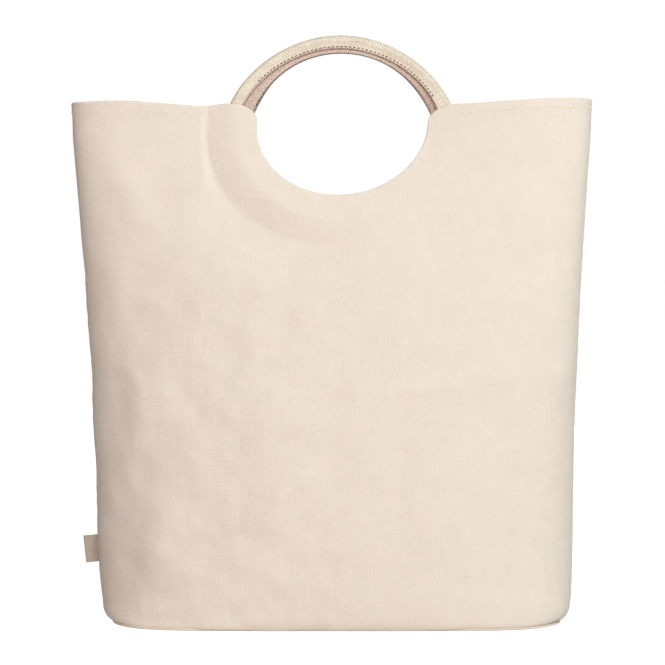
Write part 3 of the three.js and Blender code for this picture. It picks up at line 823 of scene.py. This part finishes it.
# %% Folded tape in the side seam
TAPE = Sizes(tall=25, out=13, sewn_in=6, thickness=0.7, half_slit=0.55, tilt=5)
TAPE_STEPS, TAPE_ROWS = 14, 16
LABEL_HEIGHT = 66
TIP, TIP_HALF, LEG_END = 1.0, 0.75, 1.2  # the fold's reach and half width, and a leg's end before it
TAPE_PITCH, TAPE_SWING = 1.4, 0.02
TAPE_BOW = Sizes(rise=0.5, across=9, along=11, seed=5.5)


def side_tape(name):
    """The folded tape."""
    legs = np.linspace(-TAPE.sewn_in, TAPE.out - LEG_END, TAPE_STEPS)
    turn = np.linspace(-np.pi / 2, np.pi / 2, 8)[1:-1]
    loop_out = np.concatenate((legs, TAPE.out - TIP + TIP * np.cos(turn), legs[::-1]))
    leg_y = np.full(TAPE_STEPS, TAPE.half_slit)
    loop_y = np.concatenate((-leg_y, TIP_HALF * np.sin(turn), leg_y))
    made = flat_grid(name, len(loop_out) - 1, TAPE_ROWS)
    bm = bmesh.new()
    bm.from_mesh(made.data)
    tilt = math.radians(TAPE.tilt)
    seam_x = float(shift_at(LABEL_HEIGHT) - half_width_at(LABEL_HEIGHT))
    cloth = {}
    for v in bm.verts:
        i = round((v.co.x + 0.5) * (len(loop_out) - 1))
        up = v.co.y * TAPE.tall
        out, y = loop_out[i], loop_y[i]
        spot = Vector((out / TAPE_BOW.across, up / TAPE_BOW.along, TAPE_BOW.seed))
        bow = TAPE_BOW.rise * noise.noise(spot)
        cloth[v] = np.array((i * TAPE_PITCH, up))
        swing = out + TAPE_SWING * up
        x = seam_x - (swing * math.cos(tilt) + up * math.sin(tilt))
        z = LABEL_HEIGHT + up * math.cos(tilt) - swing * math.sin(tilt)
        v.co = (x, y + bow * max(0, out) / TAPE.out, z)
    bmesh.ops.recalc_face_normals(bm, faces=bm.faces)
    return finish_cloth(made, bm, cloth, TAPE.thickness, False)


tape = side_tape("seam_tape")
print("faces in the tape:", len(tape.data.polygons))

# %% [markdown]
# ## Stitches
#
# A stitch is a short thread that dips into the cloth at both ends. One is modelled with few faces, and
# copies of it are laid along a line on the cloth. The hem's line runs a little below the rim, and the
# handle's line holds the two edges of the folded webbing together.

# %% One stitch, and a row of stitches
HEM_THREAD = Sizes(length=2.3, gap=1.3, radius=0.42)
HANDLE_THREAD = Sizes(length=2.6, gap=1.3, radius=0.55)


def model_stitch(size):
    """Points and faces of one stitch along X, with Z out of the cloth."""
    deselect_all()
    bpy.ops.mesh.primitive_uv_sphere_add(segments=6, ring_count=5, radius=1, rotation=(0, math.pi / 2, 0))
    ball = bpy.context.object
    bpy.ops.object.transform_apply(location=False, rotation=True, scale=False)
    points = np.array([v.co for v in ball.data.vertices])
    # the sphere's points and faces come in an order that changes from run to run, so they are sorted
    order = np.lexsort(points.round(5).T)
    rank = np.argsort(order).tolist()
    points = points[order]
    rings = [[rank[i] for i in f.vertices] for f in ball.data.polygons]
    faces = sorted(tuple(r[r.index(min(r)) :] + r[: r.index(min(r))]) for r in rings)
    bpy.data.objects.remove(ball)
    arch = size.radius * (0.7 - 1.1 * points[:, 0] ** 2)
    points = points * (size.length / 2, size.radius, size.radius)
    points[:, 2] += arch
    return points, faces


def stitch_row(name, lines, size):
    """Stitches along lines of (point, normal) in millimetres, as one mesh."""
    stitch, stitch_faces = model_stitch(size)
    points, faces = [], []
    for spots, normals in lines:
        run = np.concatenate(([0], np.cumsum(np.linalg.norm(np.diff(spots, axis=0), axis=1))))
        pitch = size.length + size.gap
        for at in np.arange(pitch / 2, run[-1] - pitch / 2, pitch):
            place = np.array([np.interp(at, run, spots[:, k]) for k in range(3)])
            ahead = np.array([np.interp(at + pitch / 2, run, spots[:, k]) for k in range(3)])
            behind = np.array([np.interp(at - pitch / 2, run, spots[:, k]) for k in range(3)])
            up = np.array([np.interp(at, run, normals[:, k]) for k in range(3)])
            along = (ahead - behind) / np.linalg.norm(ahead - behind)
            up -= along * (up @ along)
            up /= np.linalg.norm(up)
            aside = np.cross(up, along)
            start = sum(len(p) for p in points)
            points.append(place + stitch @ np.stack([along, aside, up]))
            faces += [tuple(start + i for i in f) for f in stitch_faces]
    mesh = bpy.data.meshes.new(name)
    mesh.from_pydata((np.concatenate(points) * MM).tolist(), [], faces)
    mesh.shade_smooth()
    made = bpy.data.objects.new(name, mesh)
    bpy.context.collection.objects.link(made)
    return made


print("stitches of the hem in ten millimetres:", round(10 / (HEM_THREAD.length + HEM_THREAD.gap), 1))


# %% Stitches along the hem
STITCHED_SHARE = (0.012, 0.988)  # the line starts and ends this far round, beside the side seams
LINE_STEPS = 200
OUTSIDE = 2  # the line is looked for from this far in front of the cloth


def cloth_tree(made):
    """A search tree of a piece's surface."""
    bm = bmesh.new()
    bm.from_mesh(made.data)
    tree = BVHTree.FromBMesh(bm)
    bm.free()
    return tree


def on_cloth(tree, points):
    """The nearest points on a piece to points in millimetres, and the normals there."""
    found = [tree.find_nearest(Vector(p) * MM) for p in points]
    return np.array([f[0] for f in found]) / MM, np.array([f[1] for f in found])


def hem_lines(made, side):
    """The hem's stitch line on both sides of the hand hole, on the wall's outer face."""
    tree = cloth_tree(made)
    lines = []
    reach = side.hole_half + HOLE.corner_across
    for low, high in ((STITCHED_SHARE[0], None), (None, STITCHED_SHARE[1])):
        level = RIM_HEIGHT - HEM_STITCH
        x, _, run = half_oval(level)
        middle = float(hole_middle(level, FRONT))
        first = low * run[-1] if low else np.interp(middle + reach, x, run)
        last = high * run[-1] if high else np.interp(middle - reach, x, run)
        share = np.linspace(first, last, LINE_STEPS) / run[-1]
        levels = np.full(LINE_STEPS, float(level))
        at = on_oval(share, levels)
        points = shaped(at[0], at[1], levels, FRONT)
        points[:, 1] -= OUTSIDE
        if side is BACK:
            points *= (-1, -1, 1)
        lines.append(on_cloth(tree, points))
    return lines


hem_line = hem_lines(front_wall, FRONT) + hem_lines(back_wall, BACK)
hem_thread = stitch_row("hem_stitches", hem_line, HEM_THREAD)
print("faces in the hem's stitches:", len(hem_thread.data.polygons))

# %% Stitches along the handles
SEWN_FROM, SEWN_TO = -48, 58  # degrees from the top, where the handle is sewn together
SEWN_STEPS = 90
FROM_EDGE = 0.8


def handle_lines(side):
    """The handle's stitch line, on its front leg and on its rear leg."""
    lines = []
    for leg in (0, 1):
        spots, normals = [], []
        for from_top in np.linspace(SEWN_FROM, SEWN_TO, SEWN_STEPS):
            ring, _ = handle_ring(float(from_top), 0.0, side)
            step = WEBBING.width / STRIP_STEPS
            i = round(FROM_EDGE / step)
            if leg:
                i = STRIP_STEPS - i
            face = ring[2 * STRIP_STEPS + 1 + SELVEDGE_STEPS - i]
            out = face - ring[i]
            spots.append(face)
            normals.append(out / np.linalg.norm(out))
        turned = (-1, -1, 1) if side is BACK else (1, 1, 1)
        lines.append((np.array(spots) * turned, np.array(normals) * turned))
    return lines


handle_thread = stitch_row("handle_stitches", handle_lines(FRONT) + handle_lines(BACK), HANDLE_THREAD)
print("faces in the handles' stitches:", len(handle_thread.data.polygons))

# %% [markdown]
# ## Materials as expressions
#
# A pattern such as a weave is arithmetic on the cloth's own coordinates. A small class wraps a node's
# socket, so that the arithmetic is written as Python, and each operation adds its Math node.


# %% Values and finishes
class Value:
    """A number that changes over a surface; arithmetic on it adds Math nodes."""

    def __init__(self, socket):
        self.socket = socket

    def math(self, operation, *others, first=None):
        tree = self.socket.id_data
        node = tree.nodes.new("ShaderNodeMath")
        node.operation = operation
        given = (first, self) if first is not None else (self, *others)
        for slot, value in zip(node.inputs, given):
            if isinstance(value, Value):
                tree.links.new(value.socket, slot)
            else:
                slot.default_value = value
        return Value(node.outputs[0])

    def __add__(self, other):
        return self.math("ADD", other)

    __radd__ = __add__

    def __sub__(self, other):
        return self.math("SUBTRACT", other)

    def __rsub__(self, other):
        return self.math("SUBTRACT", first=other)

    def __mul__(self, other):
        return self.math("MULTIPLY", other)

    __rmul__ = __mul__

    def __gt__(self, other):
        return self.math("GREATER_THAN", other)

    def __lt__(self, other):
        return self.math("LESS_THAN", other)

    def sin(self):
        return self.math("SINE")

    def size(self):
        return self.math("ABSOLUTE")

    def clamped(self):
        return self.math("MINIMUM", 1.0).math("MAXIMUM", 0.0)


class Finish:
    """A material whose patterns are added as expressions."""

    def __init__(self, name, constants):
        self.material = bpy.data.materials.new(name)
        self.material.use_nodes = True
        self.tree = self.material.node_tree
        self.shader = self.tree.nodes["Principled BSDF"]
        for socket, number in constants.items():
            self.shader.inputs[socket].default_value = number

    def node(self, kind, settings, sockets, output=0):
        """Any node: its settings are set first, then its sockets are given values or links."""
        made = self.tree.nodes.new(kind)
        for name, value in settings.items():
            setattr(made, name, value)
        for name, value in sockets.items():
            if isinstance(value, Value):
                self.tree.links.new(value.socket, made.inputs[name])
            else:
                made.inputs[name].default_value = value
        return Value(made.outputs[output])

    def mix(self, factor, first, second):
        """A blend of two colours."""
        return self.node("ShaderNodeMix", {"data_type": "RGBA"}, {0: factor, 6: first, 7: second}, 2)

    def cloth_place(self):
        """Both coordinates on the flat cloth, in metres, and the place as a vector."""
        place = self.node("ShaderNodeUVMap", {"uv_map": "cloth"}, {})
        across = self.node("ShaderNodeSeparateXYZ", {}, {0: place}, 0)
        along = self.node("ShaderNodeSeparateXYZ", {}, {0: place}, 1)
        return across, along, place

    def stretched(self, place, across, along):
        """The cloth's place with its two directions scaled, for streaks that follow the threads."""
        return self.node("ShaderNodeVectorMath", {"operation": "MULTIPLY"}, {0: place, 1: (across, along, 1)})

    def noise(self, place, scale, detail=2.0):
        return self.node("ShaderNodeTexNoise", {}, {"Vector": place, "Scale": scale, "Detail": detail})

    def feed(self, colour, height, depth):
        """Links the colour, and the height as a bump of a depth in metres."""
        bump = self.node("ShaderNodeBump", {}, {"Height": height, "Distance": depth, "Strength": 1.0})
        self.tree.links.new(colour.socket, self.shader.inputs["Base Color"])
        self.tree.links.new(bump.socket, self.shader.inputs["Normal"])
        return self.material


print("a finish is ready to be described")

# %% [markdown]
# ## Undyed canvas
#
# The canvas is a plain weave: each thread goes over one and under the next, about one to a millimetre.
# Threads vary in thickness, which shows as faint streaks along and across, and bits of cotton seed are
# left in as small brown flecks. The darker tan near the floor is painted shade where the walls meet the base.

# %% Canvas
THREAD = 1.05 * MM
CANVAS_LIGHT = (0.785, 0.69, 0.588, 1)
CANVAS_DARK = (0.676, 0.585, 0.487, 1)
CANVAS_ROSY = (0.76, 0.625, 0.52, 1)
CANVAS_BASE_SHADE = (0.68, 0.53, 0.375, 1)
BASE_SHADE_BELOW = 6 * MM  # painted shade: up to this height above the floor the cloth is painted darker, for the shade at the base seam
FLECK = (0.36, 0.25, 0.16, 1)
FLECK_CELLS = 95.0  # cells to a metre that may hold a fleck
FLECK_SIZE = 0.045  # as a share of a cell
MANY_BELOW, FEW_ABOVE = 0.12, 0.36  # heights up the wall in metres


def seed_flecks(finish, place, along):
    """Where a bit of seed lies in the cloth: fewer of them higher up."""
    settings = {"feature": "F1", "voronoi_dimensions": "2D"}
    cells = {"Vector": place, "Scale": FLECK_CELLS}
    far = finish.node("ShaderNodeTexVoronoi", settings, cells, "Distance")
    chance = finish.node("ShaderNodeTexVoronoi", settings, cells, "Color")
    dice = finish.node("ShaderNodeSeparateColor", {}, {0: chance}, 0)
    faint = finish.node("ShaderNodeSeparateColor", {}, {0: chance}, 1)
    rarer = ((along - MANY_BELOW) * (1 / (FEW_ABOVE - MANY_BELOW))).clamped()
    return (dice > 0.83 + rarer * 0.13) * (far < FLECK_SIZE) * (0.15 + faint * 0.45)


def canvas_finish(name):
    finish = Finish(name, {"Roughness": 0.95, "Specular IOR Level": 0.2})
    across, along, place = finish.cloth_place()
    waver = finish.noise(place, 160, 1.0) - 0.5
    warp = (across + waver * (0.5 * MM)) * (math.pi / THREAD)
    weft = (along + waver * (0.5 * MM)) * (math.pi / THREAD)
    weave = (warp.sin() * weft.sin()).size()
    up_streak = finish.noise(finish.stretched(place, 900, 45), 1.0, 1.0)
    cross_streak = finish.noise(finish.stretched(place, 45, 900), 1.0, 1.0)
    streaks = up_streak * 1.3 + cross_streak * 0.7 - 1.0
    grain = finish.noise(place, 560, 2.0) - 0.5
    mottled = finish.noise(place, 75, 3.0) - 0.5
    cloudy = finish.noise(place, 22, 2.0) - 0.5
    shade = 0.58 - weave * 0.2 + streaks * 0.22 + grain * 0.65 + mottled * 0.45 + cloudy * 0.4
    cloth = finish.mix(shade, CANVAS_LIGHT, CANVAS_DARK)
    rosy = ((finish.noise(place, 45, 2.0) - 0.45) * 2.5).clamped()
    cloth = finish.mix(rosy * 0.3, cloth, CANVAS_ROSY)
    here = finish.node("ShaderNodeTexCoord", {}, {}, "Object")
    height = finish.node("ShaderNodeSeparateXYZ", {}, {0: here}, 2)
    # painted shade: the foot of each wall and the base's lip are mixed towards a darker tan near the floor
    painted_base_shade = ((BASE_SHADE_BELOW - height) * (1 / BASE_SHADE_BELOW)).clamped()
    cloth = finish.mix(painted_base_shade * painted_base_shade * 0.7, cloth, CANVAS_BASE_SHADE)
    colour = finish.mix(seed_flecks(finish, place, along), cloth, FLECK)
    return finish.feed(colour, weave * 0.6 + streaks * 0.8 + grain, 0.23 * MM)


canvas = canvas_finish("undyed_canvas")
print("canvas nodes:", len(canvas.node_tree.nodes))

# %% [markdown]
# ## Webbing, tape and thread
#
# The webbing is a heavier ribbed weave. Its inner face, where shade falls between the folded legs, and its
# edge, which faces down up to the top of the arch, are painted darker and rosier: painted shade. The tape
# is a fine twill, and the thread is fuzzy. The handle's stitches are painted dark, as painted shade in
# their holes. The weaves are again arithmetic on the strip's own coordinates.

# %% Webbing, tape and thread
RIB = 2.1 * MM
RIB_COLUMN = 2.7 * MM
WEBBING_LIGHT = (0.80, 0.70, 0.56, 1)
WEBBING_DARK = (0.60, 0.50, 0.385, 1)
# painted shade: the colour of the inner face and the edge, where shade falls between and under the folded
# legs
WEBBING_PAINTED_SHADE = (0.55, 0.395, 0.325, 1)
WEBBING_FLECK = (0.33, 0.21, 0.16, 1)
SHADED_EDGE_BAND = 0.5 * MM
# painted shade on the edge along the strip: it fades out past the top of the arch, where the edge turns up to
# the light
EDGE_SHADE_ENDS = (190 * MM, 235 * MM)
TAPE_TWILL = 0.9 * MM
TAPE_LIGHT = (0.62, 0.545, 0.445, 1)
TAPE_DARK = (0.47, 0.405, 0.325, 1)
LIGHT_THREAD = ((0.815, 0.728, 0.625, 1), (0.755, 0.665, 0.56, 1))
# painted shade: the handle's stitches are real, and their dark colour stands in for the shade in their holes
# and between the folded legs
PAINTED_SHADE_THREAD = ((0.25, 0.17, 0.13, 1), (0.19, 0.13, 0.10, 1))


def webbing_finish(name):
    finish = Finish(name, {"Roughness": 0.92, "Specular IOR Level": 0.2})
    across, along, place = finish.cloth_place()
    column = ((across * (math.pi / RIB_COLUMN)).sin() > 0.0) * 2.0 - 1.0
    twill = ((along + across * column * 0.8) * (2 * math.pi / RIB)).sin()
    dots = (across * (2 * math.pi / RIB_COLUMN)).sin() * (along * (2 * math.pi / RIB)).sin()
    streaks = finish.noise(finish.stretched(place, 700, 60), 1.0, 1.0) - 0.5
    cloudy = finish.noise(place, 60, 3.0) - 0.5
    shade = 0.42 - twill * 0.3 + dots * 0.2 + streaks * 0.6 + cloudy * 0.8
    face = finish.mix(shade.clamped(), WEBBING_LIGHT, WEBBING_DARK)
    half = WEBBING.width * MM / 2
    painted_shade_edge = (across - (OUTER_FACE * MM + half)).size() > half - SHADED_EDGE_BAND
    edge_shade_fade = ((EDGE_SHADE_ENDS[1] - along) * (1 / (EDGE_SHADE_ENDS[1] - EDGE_SHADE_ENDS[0]))).clamped()
    # painted shade: the inner face, and the edge up to the top of the arch, are painted darker and rosier
    inside = (across < (OUTER_FACE - 1) * MM).math("MAXIMUM", painted_shade_edge * edge_shade_fade)
    flecks = (finish.noise(place, 420, 1.0) > 0.6) * inside * 0.4
    colour = finish.mix(inside * (0.8 - twill * 0.2), face, WEBBING_PAINTED_SHADE)
    colour = finish.mix(flecks, colour, WEBBING_FLECK)
    return finish.feed(colour, twill * 0.5 + dots * 0.3 + streaks, 0.3 * MM)


def tape_finish(name):
    finish = Finish(name, {"Roughness": 0.9, "Specular IOR Level": 0.2})
    across, along, place = finish.cloth_place()
    twill = ((along + across) * (2 * math.pi / TAPE_TWILL)).sin()
    cloudy = finish.noise(place, 120, 3.0) - 0.5
    shade = 0.5 - twill * 0.3 + cloudy * 1.2
    colour = finish.mix(shade, TAPE_LIGHT, TAPE_DARK)
    return finish.feed(colour, twill, 0.1 * MM)


def thread_finish(name, light, dark):
    finish = Finish(name, {"Roughness": 0.8, "Specular IOR Level": 0.3})
    place = finish.node("ShaderNodeTexCoord", {}, {}, "Object")
    fuzz = finish.noise(place, 2500, 2.0)
    colour = finish.mix(fuzz, light, dark)
    return finish.feed(colour, fuzz, 0.05 * MM)


webbing = webbing_finish("cotton_webbing")
woven_tape = tape_finish("woven_tape")
light_thread = thread_finish("light_thread", *LIGHT_THREAD)
painted_shade_thread = thread_finish("painted_shade_thread", *PAINTED_SHADE_THREAD)
print("webbing nodes:", len(webbing.node_tree.nodes))

# %% [markdown]
# ## Each piece in its place
#
# Every piece gets its finish, and the CAD node that it stands in for is hidden. The stitches are new
# and stand in for nothing. The bag has no joints, so all pieces ride on its one body.

# %% Finishes and bodies
PIECES = [
    (front_wall, canvas, "canvas", "front_panel"),
    (back_wall, canvas, "canvas", "back_panel"),
    (base, canvas, "canvas", "base_panel"),
    (front_handle, webbing, "webbing", "front_handle"),
    (back_handle, webbing, "webbing", "back_handle"),
    (tape, woven_tape, "tape", "side_label"),
    (hem_thread, light_thread, "canvas", None),
    (handle_thread, painted_shade_thread, "webbing", None),
]
for piece, finish, slot, node in PIECES:
    piece.data.materials.clear()
    piece.data.materials.append(finish)
    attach(piece, "root")
    if node:
        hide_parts(node)
print("pieces:", [piece.name for piece, *_ in PIECES])

# %% [markdown]
# ## What a wall was cut from
#
# A sheet can bend but not stretch, so the flat size of a wall is worked out from the lengths along
# the cloth, with its hem and seam allowances.

# %% Flat size of a wall
LEVELS = np.linspace(WALL_BOTTOM, WALL_TOP, 60)
RISE_AND_CURVE = 12  # what the rim's rise and the curve of the wall add to its height
lengths = np.array([seam_to_seam(float(level)) for level in LEVELS])
cut_height = (WALL_TOP - WALL_BOTTOM + HEM_WIDTH + ALLOWANCE + RISE_AND_CURVE) * MM
neck = RIM_HEIGHT - HOLE.middle_height
hole_area = (np.pi * FRONT.hole_half * HOLE.depth / 2 + 2 * FRONT.hole_half * neck) * MM**2
wall_area = float((lengths.mean() + 2 * ALLOWANCE) * MM * cut_height - hole_area)

# %% [markdown]
# ## Studio
#
# The bag stands on a plain white floor in soft light: a wide key light from the upper right in front,
# a fill from the front and one from behind, and a glow from all round that is brightest at the horizon
# and weaker at the sides. The camera looks straight at the front from two metres away, at about half
# of the bag's height.

# %% Floor
deselect_all()
bpy.ops.mesh.primitive_plane_add(size=60, location=(0, 0, 0))
floor = bpy.context.object
floor.name = "studio_floor"
floor_finish = bpy.data.materials.new("white_floor")
floor_finish.use_nodes = True
floor_shader = floor_finish.node_tree.nodes["Principled BSDF"]
floor_shader.inputs["Base Color"].default_value = (0.25, 0.25, 0.25, 1)
floor_shader.inputs["Roughness"].default_value = 1
floor_shader.inputs["Specular IOR Level"].default_value = 0
floor_shader.inputs["Emission Color"].default_value = (1, 1, 1, 1)
floor_shader.inputs["Emission Strength"].default_value = 0.98
floor.data.materials.append(floor_finish)
floor.visible_diffuse = False  # the glow below stands in for the floor's own bounce
print("floor:", floor.name)

# %% Lights and glow
# name, direction it comes from, light on a face turned to it, colour, distance, width
LIGHTS = [
    ("key_light", (0.424, -0.66, 0.613), 2.07, (0.732, 0.951, 1.0), 3.6, 3.3),
    ("front_fill", (0, -0.99, 0.15), 1.69, (0.97, 0.742, 0.717), 4.0, 3.7),
    ("back_fill", (0.3, 0.93, 0.2), 2.3, (0.9, 0.86, 0.84), 4.0, 3.7),
]
LIT_MIDDLE = Vector((0, 0, 0.27))
for name, comes_from, strength, colour, far, wide in LIGHTS:
    bpy.ops.object.light_add(type="AREA", location=LIT_MIDDLE + Vector(comes_from) * far)
    lamp = bpy.context.object
    lamp.name = name
    lamp.data.shape = "DISK"
    lamp.data.size = wide
    lamp.data.energy = strength * math.pi * (far * far + wide * wide / 4)
    lamp.data.color = colour
    lamp.rotation_euler = Vector(comes_from).to_track_quat("Z", "Y").to_euler()
    lamp.visible_camera = False

# height of a direction, glow that comes from there
GLOW = [
    (-1.0, 0.42), (-0.4, 0.42), (-0.22, 0.85), (-0.06, 0.85),
    (-0.02, 1.0), (0.16, 1.0), (0.18, 0.1), (1.0, 0.1),
]
SIDE_GLOW = Sizes(middle=1.04, to_right=0.12, fall=0.38)
world = bpy.data.worlds.new("studio_world")
bpy.context.scene.world = world
world.use_nodes = True
tree = world.node_tree
view_way = tree.nodes.new("ShaderNodeTexCoord")
parts = tree.nodes.new("ShaderNodeSeparateXYZ")
tree.links.new(view_way.outputs["Generated"], parts.inputs[0])
spread = tree.nodes.new("ShaderNodeFloatCurve")
line = spread.mapping.curves[0]
for at, bright in GLOW[1:-1]:
    line.points.new((at + 1) / 2, bright)
line.points[0].location = (0, GLOW[0][1])
line.points[-1].location = (1, GLOW[-1][1])
for point in line.points:
    point.handle_type = "VECTOR"
spread.mapping.update()
aside = Value(parts.outputs["X"])
lifted = Value(parts.outputs["Z"]) * 0.5 + 0.5
tree.links.new(lifted.socket, spread.inputs["Value"])
level = SIDE_GLOW.middle + aside * SIDE_GLOW.to_right - aside * aside * SIDE_GLOW.fall
glow = Value(spread.outputs[0]) * level.math("MINIMUM", 1.0)
tree.links.new(glow.socket, tree.nodes["Background"].inputs["Strength"])
tree.nodes["Background"].inputs["Color"].default_value = (1, 1, 1, 1)
print("lights:", [name for name, *_ in LIGHTS])

# %% Camera
CAMERA_DISTANCE, CAMERA_HEIGHT, LENS = 2.0, 0.265, 117.04
bpy.ops.object.camera_add(location=(0, -CAMERA_DISTANCE, CAMERA_HEIGHT), rotation=(math.pi / 2, 0, 0))
camera = bpy.context.object
camera.data.lens = LENS
camera.data.sensor_width = 36
bpy.context.scene.camera = camera
bpy.context.scene.view_settings.view_transform = "Standard"
print("camera at", tuple(round(value, 3) for value in camera.location))
